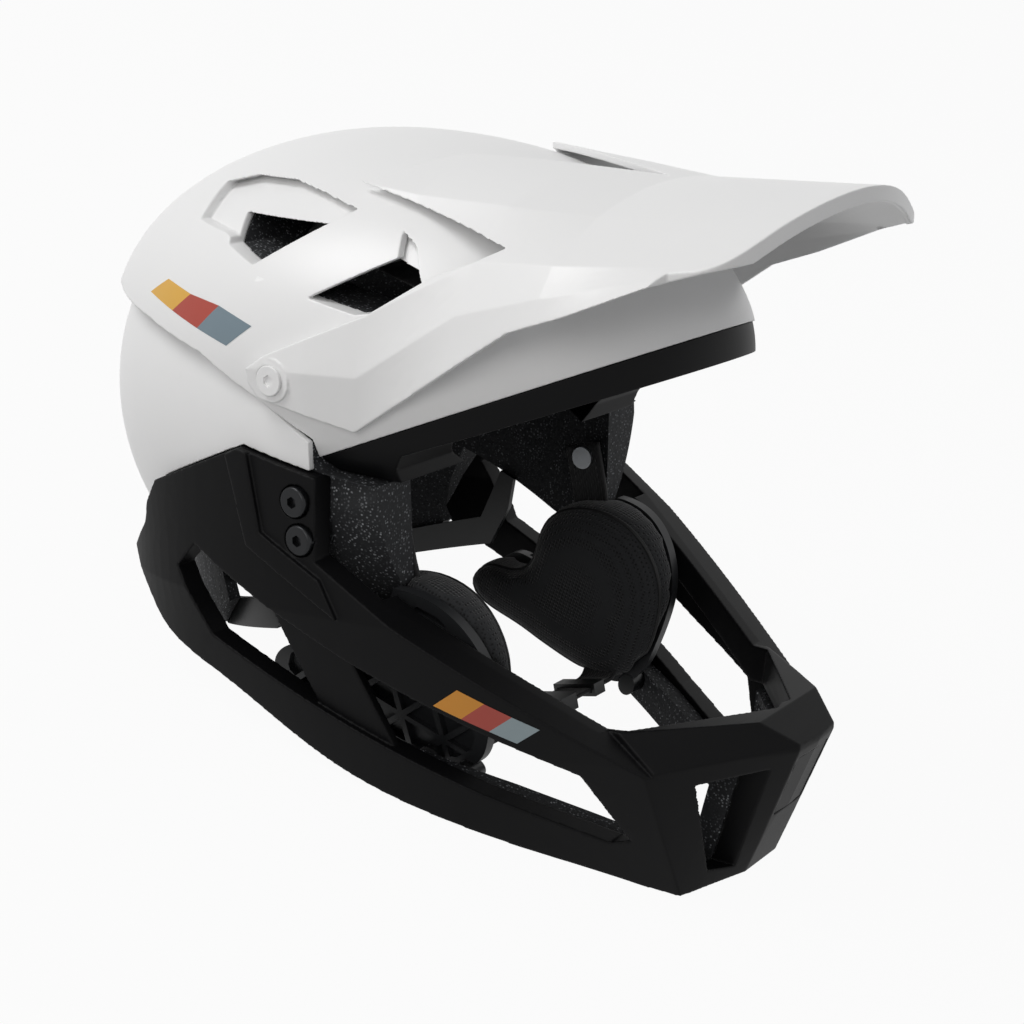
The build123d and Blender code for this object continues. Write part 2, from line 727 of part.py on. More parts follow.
def visor_plan(inset):
    """Plan outline of the visor with its front edge drawn back by inset, carried up."""
    points = [(x * half_width, y * body_length) for x, y in visor_plan_shares]
    front = [(x, y + inset) for x, y in points[:5]]
    curve = Spline(*front, tangents=[(1, 0), (front[4][0] - front[3][0], front[4][1] - front[3][1])])
    rest = Polyline(front[-1], *points[5:])
    closing = Line(points[-1], front[0])
    half = make_face(Wire(curve.edges() + rest.edges() + closing.edges()))
    return both_sides(extrude(half, amount=overrun, dir=upward))


def visor():
    """Arched peak with a front lip, a notch over the crown and an arm on each flank."""
    side = side_prism(outline(visor_side_shares))
    plate = visor_plate(0.0, visor_wall) & visor_plan(0.0)
    lip = visor_plate(visor_wall, visor_lip) & (visor_plan(0.0) - visor_plan(visor_lip_wall))
    body = (plate + lip) & side
    y, z = at(pivot_share)
    seat = pivot_seat_share * half_width
    body += both_sides(cross_rod(y, z, pivot_boss_radius, seat - pivot_boss_wall, seat))
    body -= both_sides(cross_rod(y, z, pivot_head_radius + pivot_hole_gap, seat, half_width))
    hole = cross_rod(y, z, pivot_shank_radius + pivot_hole_gap, dome_half_width / 2, half_width)
    return body - both_sides(hole)


def visor_screws():
    y, z = at(pivot_share)
    head = (pivot_head_radius, pivot_head_height)
    one = screw(head, pivot_head_round, pivot_socket_depth, pivot_shank_radius, pivot_shank_length)
    left = Pos(pivot_seat_share * half_width + pivot_head_gap, y, z) * Rot(Y=90) * one
    return Compound([left, mirror(left, about=Plane.YZ)])


def visor_washers():
    """Curved friction washer between each arm and the shell."""
    y, z = at(pivot_share)
    ring = cross_rod(y, z, washer_radius, vent_inner_reach, half_width)
    ring -= cross_rod(y, z, pivot_shank_radius + pivot_hole_gap, vent_inner_reach, half_width)
    left = (ring & dome(-washer_gap - washer_wall)) - dome(-washer_gap)
    return Compound([left, mirror(left, about=Plane.YZ)])


def visor_inserts():
    y, z = at(pivot_share)
    start = pivot_insert_seat - insert_length
    left = cross_rod(y, z, insert_radius, start, pivot_insert_seat)
    left -= cross_rod(y, z, pivot_shank_radius + screw_clearance, start, pivot_insert_seat)
    return Compound([left, mirror(left, about=Plane.YZ)])


def pad_face(size_share, x):
    """Side view outline of the cheek pad, scaled about its middle, at one distance out."""
    middle = at(pad_middle_share)
    points = []
    for y, z in outline(pad_shares):
        points.append((x, middle[0] + (y - middle[0]) * size_share, middle[1] + (z - middle[1]) * size_share))
    return make_face(Spline(*points, periodic=True))


def strap_plane():
    """Leaning plane of the chin strap: X across, Y up along the strap."""
    lean = math.radians(strap_lean)
    return Plane(origin=spot(strap_foot_share), x_dir=across, z_dir=(0, -math.cos(lean), math.sin(lean)))


def strap_point(share):
    return share[0] * half_width, share[1] * body_height


def strap_band(grow):
    """Left half of the chin strap, from its anchor to the buckle."""
    points = [strap_point(share) for share in strap_route_shares]
    path = strap_plane() * FilletPolyline(*points, radius=strap_bends)
    width_way = strap_plane().z_dir
    face = Rectangle(strap_width + grow * 2, strap_wall + grow * 2)
    return sweep(Plane(origin=path @ 0, x_dir=width_way, z_dir=path % 0) * face, path=path)


def cheek_pad():
    """Left cheek pad: crowned, drawn in at both faces, with a sewn channel and a strap slot."""
    depth = pad_outer - pad_inner
    faces = [pad_face(size, pad_inner + depth * along) for along, size in pad_section_shares]
    pad = loft(faces, ruled=True)
    back = plate_rib_height + plate_wall + pad_gap
    pad &= plate_slab(back, back + half_width)
    pad -= liner_side() - head_room(pad_gap)
    y, z = at(pad_middle_share)
    channel = Box(pad_channel_depth, body_length, pad_channel_width)
    groove = Pos(pad_inner, y, z) * Rot(X=pad_channel_slope) * channel
    return pad - groove - strap_band(strap_slot_gap)


def plate_outline(size_share):
    """Side view points of the pad's outline, drawn in about its middle."""
    middle = at(pad_middle_share)
    points = []
    for y, z in outline(pad_shares):
        points.append((middle[0] + (y - middle[0]) * size_share, middle[1] + (z - middle[1]) * size_share))
    return points


def plate_pockets():
    """Triangular fields between the lattice ribs, as side view faces."""
    fields = make_face(Polyline(*plate_outline(field_scale_share), close=True))
    for angle in plate_rib_angles:
        for step in range(-plate_rib_count, plate_rib_count + 1):
            bar = Rot(Z=angle) * Pos(0, step * plate_rib_pitch, 0) * Rectangle(body_length, plate_rib_width)
            fields -= Pos(*at(pad_middle_share), 0) * bar
    return fields


def plate_slab(near, far):
    """Slab parallel to the flank of the guard, between two depths below the plate's outer side."""
    first, second, third = (spot(share) for share in plate_corner_shares)
    outward = (third - first).cross(second - first)
    slab = Pos(0, 0, -(near + far) / 2) * Box(body_length, body_length, far - near)
    return Plane(origin=first, x_dir=second - first, z_dir=outward) * slab


def liner_side():
    """Everything beside the lower foam in the side view, out to both flanks."""
    points = outline(rear_liner_shares) + [(overrun, floor_at(overrun)), (overrun, 0.0), (0.0, 0.0)]
    return side_prism(shifted(points, -pad_gap, -pad_gap))


def cheek_plate():
    """Left plate behind the cheek pad, with a triangle lattice on its outer side."""
    face = make_face(Spline(*plate_outline(plate_scale_share), periodic=True))
    prism = extrude(Plane.YZ * face, amount=half_width, dir=across)
    plate = (prism & plate_slab(0.0, plate_rib_height + plate_wall)) - liner_side()
    for field in plate_pockets().faces():
        if field.area > plate_rib_width * plate_rib_width:
            pocket = extrude(Plane.YZ * field, amount=half_width, dir=across)
            plate -= pocket & plate_slab(0.0, plate_rib_height)
    for y, z in outline(snap_shares):
        plate -= cross_rod(y, z, snap_radius + seat_gap, 0.0, half_width)
    return plate - strap_band(strap_slot_gap)


def pad_snaps():
    """Press studs that hold each plate to the foam of the guard."""
    left = []
    band = plate_slab(-snap_length / 2, plate_rib_height + plate_wall)
    for y, z in outline(snap_shares):
        left.append(cross_rod(y, z, snap_radius, pad_inner, half_width) & band)
    return Compound(left + [mirror(piece, about=Plane.YZ) for piece in left])


def lining(thickness):
    return head_room(pad_gap) - head_room(pad_gap + thickness)


def brow_pad():
    return lining(pad_thickness) & side_prism(outline(brow_pad_shares))


def crown_pad(place):
    front, rear = (share * body_length for share in crown_pad_reach_shares)
    low = crown_pad_low_share * body_height
    strip = Box(crown_pad_width, rear - front, body_height)
    return lining(pad_thickness) & Pos(place, (front + rear) / 2, low + body_height / 2) * strip


def nape_pad():
    return lining(pad_thickness) & nape_zone()


def nape_zone():
    face = make_face(Plane.YZ * Polyline(*outline(nape_pad_shares), close=True))
    face = face.moved(Location((nape_pad_inner, 0, 0)))
    return extrude(face, amount=nape_pad_outer - nape_pad_inner, dir=across)


def fit_cradle():
    """Springy band round the nape whose ends run up inside the foam."""
    band = head_room(cradle_inset) - head_room(cradle_inset + cradle_wall)
    cradle = band & side_prism(outline(cradle_shares), dial_radius)
    y, z = dial_place()
    pad = Rot(X=90) * Cylinder(cradle_pad_radius + dial_gap, body_length)
    cradle += band & Pos(0, y, z) * pad
    bridge = side_prism(outline(cradle_shares[3:7]))
    cradle += band & bridge
    pin = Rot(X=90) * Cylinder(dial_pin_radius, dial_height)
    return cradle + Pos(0, y - cradle_wall / 2 + dial_height / 2, z) * pin


def fit_dial():
    """Knurled dial on the cradle's pin."""
    y, z = dial_place()
    knob = Cylinder(dial_radius, dial_height)
    knob = chamfer(knob.edges().group_by(Axis.Z)[-1], dial_edge)
    for index in range(dial_teeth):
        tooth = Pos(dial_radius, 0, 0) * Cylinder(dial_tooth_radius, dial_height)
        knob -= Rot(Z=index * 360 / dial_teeth) * tooth
    knob -= Cylinder(dial_pin_radius + cradle_pin_gap, dial_height)
    return Pos(0, y + dial_gap + dial_height / 2, z) * Rot(X=-90) * knob


def anchor_place():
    """The strap plane moved to the rivet, X across."""
    first, second = (strap_point(share) for share in strap_route_shares[:2])
    return strap_plane() * Pos(first[0], first[1] + (second[1] - first[1]) * anchor_along_share, 0)


def anchor_rod(radius, start, length):
    """Round rod at the rivet along X, from start past the strap's middle."""
    return anchor_place() * Pos(start + length / 2, 0, 0) * Rot(Y=90) * Cylinder(radius, length)


def strap():
    half = strap_wall + anchor_head
    return strap_band(0.0) - anchor_rod(anchor_shank_radius + screw_clearance, -half, half * 2)


def strap_anchors():
    """Rivet through the top of each strap into the foam."""
    half = strap_wall / 2 + screw_clearance
    left = anchor_rod(anchor_radius, -half - anchor_head, anchor_head)
    left += anchor_rod(anchor_radius, half, anchor_base)
    left += anchor_rod(anchor_shank_radius, -half, anchor_length)
    return Compound([left, mirror(left, about=Plane.YZ)])


def anchor_pocket():
    """Square room in the left foam for the base and the shank of the rivet."""
    side = (anchor_radius + seat_gap) * 2
    reach = anchor_length + seat_gap
    return anchor_place() * Pos(reach / 2, 0, 0) * Box(reach, side, side)


def buckle_place(shape):
    """Set a piece drawn with Z through the buckle at the foot of the strap."""
    return strap_plane() * Rot(X=90) * shape


def strap_cut(side):
    cut = strap_band(tongue_gap / 2)
    return cut if side > 0 else mirror(cut, about=Plane.YZ)


def buckle_socket():
    """Socket half of the buckle on the left strap, open towards the tongue."""
    body = Box(buckle_half, buckle_width, buckle_thickness)
    body = Pos(buckle_half / 2, 0, 0) * fillet(body.edges().filter_by(Axis.Z), buckle_round)
    body -= Box(tongue_reach * 2, tongue_width + tongue_gap * 2, tongue_thickness + tongue_gap * 2)
    hole = Box(button_length + tongue_gap * 2, button_width + tongue_gap * 2, buckle_thickness)
    body -= Pos(buckle_half / 2 - buckle_wall, 0, (buckle_thickness + tongue_thickness) / 2) * hole
    return buckle_place(body) - strap_cut(1)


def buckle_button():
    """Release button in the floor of the socket."""
    low = tongue_thickness / 2 + tongue_gap + button_travel
    high = buckle_thickness / 2 + button_height / 2
    body = Box(button_length, button_width, high - low)
    body = fillet(body.edges().filter_by(Axis.Z), buckle_round)
    return buckle_place(Pos(buckle_half / 2 - buckle_wall, 0, (low + high) / 2) * body)


def buckle_tongue():
    """Tongue half of the buckle on the right strap, pushed into the socket."""
    grip = Box(buckle_half - tongue_gap, buckle_width, buckle_thickness)
    grip = fillet(grip.edges().filter_by(Axis.Z), buckle_round)
    grip = Pos(-tongue_gap - (buckle_half - tongue_gap) / 2, 0, 0) * grip
    blade = Box(tongue_reach + buckle_half / 2 - tongue_gap, tongue_width, tongue_thickness)
    blade = Pos((tongue_reach - buckle_half / 2 - tongue_gap) / 2, 0, 0) * blade
    return buckle_place(grip + blade) - strap_cut(-1)


def strap_keeper():
    """Loop that holds the loose end against the strap."""
    x = strap_route_shares[-1][0] * half_width * 2
    width = strap_width + seat_gap * 2
    height = strap_wall + seat_gap * 2
    outer = Box(keeper_length, width + keeper_wall * 2, height + keeper_wall * 2)
    return buckle_place(Pos(x, 0, 0) * (outer - Box(keeper_length, width, height)))


def right_of(shape):
    return mirror(shape, about=Plane.YZ)


def build_nodes():
    pad = cheek_pad()
    plate = cheek_plate()
    side_crown = crown_pad(crown_pad_places[1])
    nape = nape_pad()
    web = strap()
    return {
        "outer_shell": upper_shell(),
        "lower_shell": lower_shell(),
        "brow_trim": brow_trim(),
        "crown_liner": crown_liner(),
        "rear_liner": rear_liner(),
        "neck_trim": neck_trim(),
        "chin_guard": chin_guard(),
        "chin_guard_liner": chin_guard_liner(),
        "nose_plate": nose_plate(),
        "guard_screws": guard_screws(),
        "guard_inserts": guard_inserts(),
        "visor": visor(),
        "visor_screws": visor_screws(),
        "visor_washers": visor_washers(),
        "visor_inserts": visor_inserts(),
        "cheek_pad_left": pad,
        "cheek_pad_right": right_of(pad),
        "cheek_plate_left": plate,
        "cheek_plate_right": right_of(plate),
        "pad_snaps": pad_snaps(),
        "brow_pad": brow_pad(),
        "crown_pad_centre": crown_pad(crown_pad_places[0]),
        "crown_pad_left": side_crown,
        "crown_pad_right": right_of(side_crown),
        "nape_pad_left": nape,
        "nape_pad_right": right_of(nape),
        "fit_cradle": fit_cradle(),
        "fit_dial": fit_dial(),
        "strap_left": web,
        "strap_right": right_of(web),
        "strap_anchors": strap_anchors(),
        "strap_keeper": strap_keeper(),
        "buckle_socket": buckle_socket(),
        "buckle_tongue": buckle_tongue(),
        "buckle_button": buckle_button(),
    }


def rest(shapes):
    """Turn the helmet to its rest on the chin flat and the neck trim, centred on its box."""
    run = outline((guard_side_shares[-1], guard_belly_shares[0]))
    pitch = math.degrees(math.atan2(run[1][1] - run[0][1], run[1][0] - run[0][0]))
    turned = {name: Rot(X=-pitch) * shape for name, shape in shapes.items()}
    box = Compound(list(turned.values())).bounding_box()
    move = Pos(0, -box.center().Y, -box.min.Z)
    print("pitch", pitch, "move", move.position)
    return {name: move * shape for name, shape in turned.items()}


def main():
    os.makedirs("parts", exist_ok=True)
    for name, shape in rest(build_nodes()).items():
        export_step(shape, f"parts/{name}.step")
        print(name, len(shape.solids()), round(shape.volume))


main()
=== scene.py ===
import bpy
import bmesh
import math
from mathutils import Matrix, Vector
from mathutils.bvhtree import BVHTree


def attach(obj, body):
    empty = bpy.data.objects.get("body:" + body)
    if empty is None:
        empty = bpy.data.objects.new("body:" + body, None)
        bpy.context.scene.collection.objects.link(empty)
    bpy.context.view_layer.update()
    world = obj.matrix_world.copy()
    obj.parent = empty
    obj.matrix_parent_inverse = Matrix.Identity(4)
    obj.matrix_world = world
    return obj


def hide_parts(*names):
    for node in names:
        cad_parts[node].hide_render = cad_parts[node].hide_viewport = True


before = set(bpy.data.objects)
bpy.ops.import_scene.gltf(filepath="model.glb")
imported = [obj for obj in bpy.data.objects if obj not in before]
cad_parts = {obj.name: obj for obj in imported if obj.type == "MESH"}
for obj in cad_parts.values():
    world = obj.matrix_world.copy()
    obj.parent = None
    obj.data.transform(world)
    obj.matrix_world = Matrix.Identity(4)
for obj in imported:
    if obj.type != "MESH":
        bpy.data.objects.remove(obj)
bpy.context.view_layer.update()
print("frame loaded:", len(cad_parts), "nodes")

# The helmet is drawn as it is worn, in millimetres: X to the wearer's left, Y back, Z up.
# It stands pitched forward on its chin, and this turns worn millimetres into the frame's metres.
stand = {"pitch": 17.8616, "back": -15.4937, "up": 121.682, "millimetre": 0.001}
toFrame = (
    Matrix.Scale(stand["millimetre"], 4)
    @ Matrix.Translation((0, stand["back"], stand["up"]))
    @ Matrix.Rotation(-math.radians(stand["pitch"]), 4, "X")
)
toWorn = toFrame.inverted()
sides = {"right": 1, "left": -1}

# Camera: where the photograph was taken from, worked out from the mirrored corners of the face opening
view = {
    "place": (-663.4, -458.3, 193.3),
    "right": (0.5712, -0.8208, 0.0),
    "up": (0.2193, 0.1526, 0.9637),
    "lens": 70,
    "sensor": 36,
    "clipEnd": 20,
}
turn = toFrame.to_3x3().normalized()
right = turn @ Vector(view["right"])
up = turn @ Vector(view["up"])
cameraData = bpy.data.cameras.new("camera")
cameraData.lens = view["lens"]
cameraData.sensor_width = view["sensor"]
cameraData.clip_end = view["clipEnd"]
camera = bpy.data.objects.new("camera", cameraData)
facing = Matrix((right, up, right.cross(up))).transposed().to_4x4()
camera.matrix_world = Matrix.Translation(toFrame @ Vector(view["place"])) @ facing
bpy.context.collection.objects.link(camera)
bpy.context.scene.camera = camera
bpy.context.scene.view_settings.view_transform = "Standard"


def linear(hexCode):
    channels = []
    for start in (0, 2, 4):
        value = int(hexCode[start:start + 2], 16) / 255
        channels.append(value / 12.92 if value <= 0.04045 else ((value + 0.055) / 1.055) ** 2.4)
    return (*channels, 1.0)


def addNode(tree, kind, settings=None, links=None):
    node = tree.nodes.new(kind)
    for key, value in (settings or {}).items():
        if isinstance(key, int) or key in node.inputs:
            node.inputs[key].default_value = value
        else:
            setattr(node, key, value)
    for socket, source in (links or {}).items():
        tree.links.new(source, node.inputs[socket])
    return node


def maths(tree, operation, first, second):
    # one calculation node: numbers are set on it, sockets are linked to it
    node = addNode(tree, "ShaderNodeMath", {"operation": operation})
    for socket, value in enumerate((first, second)):
        if isinstance(value, (int, float)):
            node.inputs[socket].default_value = value
        else:
            tree.links.new(value, node.inputs[socket])
    return node.outputs[0]


def emptyMaterial(name):
    material = bpy.data.materials.new(name)
    material.use_nodes = True
    material.node_tree.nodes.clear()
    return material, material.node_tree


def lamp(name, plan, target):
    data = bpy.data.lights.new(name, "AREA")
    data.shape = "DISK"
    data.size = plan["size"]
    data.energy = plan["watts"]
    data.color = linear(plan["colour"])[:3]
    lampObject = bpy.data.objects.new(name, data)
    aim = (Vector(target) - Vector(plan["place"])).to_track_quat("-Z", "Y")
    lampObject.matrix_world = Matrix.Translation(plan["place"]) @ aim.to_matrix().to_4x4()
    bpy.context.collection.objects.link(lampObject)


# White studio: a broad key from behind the left of the view, a weak fill from the front
studio = {
    "target": (0.0, 0.0, 0.14),
    "lamps": {
        "key": {"place": (-0.9, 1.0, 1.5), "size": 1.0, "watts": 16.5, "colour": "FFFFFF"},
        "side": {"place": (-1.6, -0.2, 0.9), "size": 0.8, "watts": 5.5, "colour": "FFFDFB"},
        "fill": {"place": (0.9, -1.4, 0.5), "size": 1.2, "watts": 1.2, "colour": "F6F8FF"},
    },
    "world": 0.27,
    "seenWorld": 1.0,
    "skyColour": "FFFFFF",
    "floorHalf": 3.0,
    "floorColour": "B4B4B4",
    "floorGlow": 0.95,
}
for lampName, plan in studio["lamps"].items():
    lamp(lampName, plan, studio["target"])


def seenRays(tree):
    # one where the camera, a reflection or a clear piece looks straight at the background
    rays = addNode(tree, "ShaderNodeLightPath").outputs
    mirror = maths(tree, "MAXIMUM", rays["Is Glossy Ray"], rays["Is Transmission Ray"])
    return maths(tree, "MAXIMUM", rays["Is Camera Ray"], mirror)


world = bpy.data.worlds.new("studio")
bpy.context.scene.world = world
world.use_nodes = True
sky = world.node_tree
sky.nodes.clear()
skyColour = linear(studio["skyColour"])
plain = addNode(sky, "ShaderNodeBackground", {"Color": skyColour, "Strength": studio["world"]})
white = addNode(sky, "ShaderNodeBackground", {"Color": skyColour, "Strength": studio["seenWorld"]})
shades = {0: seenRays(sky), 1: plain.outputs[0], 2: white.outputs[0]}
mixed = addNode(sky, "ShaderNodeMixShader", {}, shades)
addNode(sky, "ShaderNodeOutputWorld", {}, {"Surface": mixed.outputs[0]})

floorMaterial, tree = emptyMaterial("paleStudioFloor")
dull = addNode(tree, "ShaderNodeBsdfDiffuse", {"Color": linear(studio["floorColour"])})
glow = addNode(tree, "ShaderNodeEmission", {"Color": skyColour, "Strength": studio["seenWorld"]})
share = maths(tree, "MULTIPLY", seenRays(tree), studio["floorGlow"])
shades = {0: share, 1: dull.outputs[0], 2: glow.outputs[0]}
mixed = addNode(tree, "ShaderNodeMixShader", {}, shades)
addNode(tree, "ShaderNodeOutputMaterial", {}, {"Surface": mixed.outputs[0]})
shape = bmesh.new()
bmesh.ops.create_grid(shape, x_segments=1, y_segments=1, size=studio["floorHalf"])
floorMesh = bpy.data.meshes.new("floor")
shape.to_mesh(floorMesh)
shape.free()
floor = bpy.data.objects.new("floor", floorMesh)
floorMesh.materials.append(floorMaterial)
bpy.context.collection.objects.link(floor)
print("camera, light and floor set")


# Detail of every finish's cloud and grain, and the shader constants that a finish may leave out
skin = {
    "cloudDetail": 4.0,
    "grainDetail": 3.0,
    "grainRough": 0.55,
    "constants": {
        "Metallic": ("metal", 0.0),
        "IOR": ("ior", 1.5),
        "Specular IOR Level": ("gloss", 0.5),
        "Coat Weight": ("coat", 0.0),
        "Coat Roughness": ("coatRough", 0.1),
        "Sheen Weight": ("sheen", 0.0),
        "Sheen Roughness": ("sheenRough", 0.5),
    },
}


def surface(name, look, pattern=None):
    # every finish: two close colours in a slow cloud, roughness that wanders, and a relief
    material, tree = emptyMaterial(name)
    places = addNode(tree, "ShaderNodeTexCoord").outputs
    coords = places[look.get("coords", "Object")]
    drift = {"Scale": 1 / look["cloud"], "Detail": skin["cloudDetail"]}
    slow = addNode(tree, "ShaderNodeTexNoise", drift, {"Vector": places["Object"]})
    cloud = slow.outputs["Fac"]
    tones = {"data_type": "RGBA", 6: linear(look["colour"]), 7: linear(look["shade"])}
    colour = addNode(tree, "ShaderNodeMix", tones, {0: cloud}).outputs[2]
    height = None
    if pattern:
        height, tone = pattern(tree, coords, look)
        if tone is not None:
            # the pattern's tone paints light into the colour: pale painted sparkle on the foam, painted shade
            # in the knit's holes
            paintedSparkleAndShade = {"data_type": "RGBA", 7: linear(look["paintedSparkleAndShade"])}
            colour = addNode(tree, "ShaderNodeMix", paintedSparkleAndShade, {0: tone, 6: colour}).outputs[2]
    spots = {"Scale": 1 / look["grain"], "Detail": skin["grainDetail"], "Roughness": skin["grainRough"]}
    fine = addNode(tree, "ShaderNodeTexNoise", spots, {"Vector": places["Object"]}).outputs["Fac"]
    spread = {"To Min": look["rough"] - look["roughSpread"], "To Max": look["rough"] + look["roughSpread"]}
    rough = addNode(tree, "ShaderNodeMapRange", spread, {"Value": cloud}).outputs[0]
    relief = {"Strength": look["fineStrength"], "Distance": look["fineDepth"]}
    normal = addNode(tree, "ShaderNodeBump", relief, {"Height": fine}).outputs[0]
    if height is not None:
        relief = {"Strength": look["strength"], "Distance": look["depth"]}
        normal = addNode(tree, "ShaderNodeBump", relief, {"Height": height, "Normal": normal}).outputs[0]
    fixed = {socket: look.get(key, usual) for socket, (key, usual) in skin["constants"].items()}
    sockets = {"Base Color": colour, "Roughness": rough, "Normal": normal}
    shader = addNode(tree, "ShaderNodeBsdfPrincipled", fixed, sockets)
    addNode(tree, "ShaderNodeOutputMaterial", {}, {"Surface": shader.outputs[0]})
    return material


def beads(tree, coords, look):
    # expanded beads: a dimple at each joint, and pale specks of painted sparkle, brighter or dimmer at random,
    # where bead skins would catch the light
    cells = addNode(tree, "ShaderNodeTexVoronoi", {"Scale": 1 / look["bead"]}, {"Vector": coords})
    paintedSparkleCells = addNode(tree, "ShaderNodeTexVoronoi", {"Scale": 1 / look["paintedSparkleSize"]}, {"Vector": coords})
    chance = addNode(tree, "ShaderNodeSeparateColor", {}, {0: paintedSparkleCells.outputs["Color"]}).outputs[0]
    paintedSparkleStrength = maths(tree, "POWER", chance, look["paintedSparklePower"])
    fade = {"From Min": look["paintedSparkleCore"], "From Max": look["paintedSparkleEdge"], "To Min": 1.0, "To Max": 0.0}
    core = addNode(tree, "ShaderNodeMapRange", fade, {"Value": paintedSparkleCells.outputs["Distance"]}).outputs[0]
    height = maths(tree, "SUBTRACT", 1, cells.outputs["Distance"])
    return height, maths(tree, "MULTIPLY", paintedSparkleStrength, core)


def knit(tree, coords, look):
    # spacer mesh: rows of small open stitches, with painted shade darkening their holes
    rows = {"Scale": 1 / look["stitch"], "Randomness": look["loose"]}
    cells = addNode(tree, "ShaderNodeTexVoronoi", rows, {"Vector": coords})
    edge = {"From Min": look["holeCore"], "From Max": look["holeEdge"], "To Min": 1.0, "To Max": 0.0}
    holeWithPaintedShade = addNode(tree, "ShaderNodeMapRange", edge, {"Value": cells.outputs["Distance"]}).outputs[0]
    return maths(tree, "SUBTRACT", 1, holeWithPaintedShade), holeWithPaintedShade


def brushed(tree, coords, look):
    # fleece side of a pad, brushed one way
    way = addNode(tree, "ShaderNodeMapping", {"Scale": look["brush"]}, {"Vector": coords})
    pile = {"Scale": 1 / look["fibre"], "Detail": look["fibreDetail"], "Roughness": look["fibreRough"]}
    return addNode(tree, "ShaderNodeTexNoise", pile, {"Vector": way.outputs[0]}).outputs["Fac"], None


def twill(tree, coords, look):
    # strap weave on the webbing's own flattened length and width, in metres
    waves = []
    for size, way, bend in (("thread", "DIAGONAL", "threadBend"), ("pick", "Y", "pickBend")):
        plan = {"Scale": 1 / look[size], "bands_direction": way, "Distortion": look[bend], "Detail": 1.0}
        waves.append(addNode(tree, "ShaderNodeTexWave", plan, {"Vector": coords}).outputs["Fac"])
    return maths(tree, "MULTIPLY", *waves), None


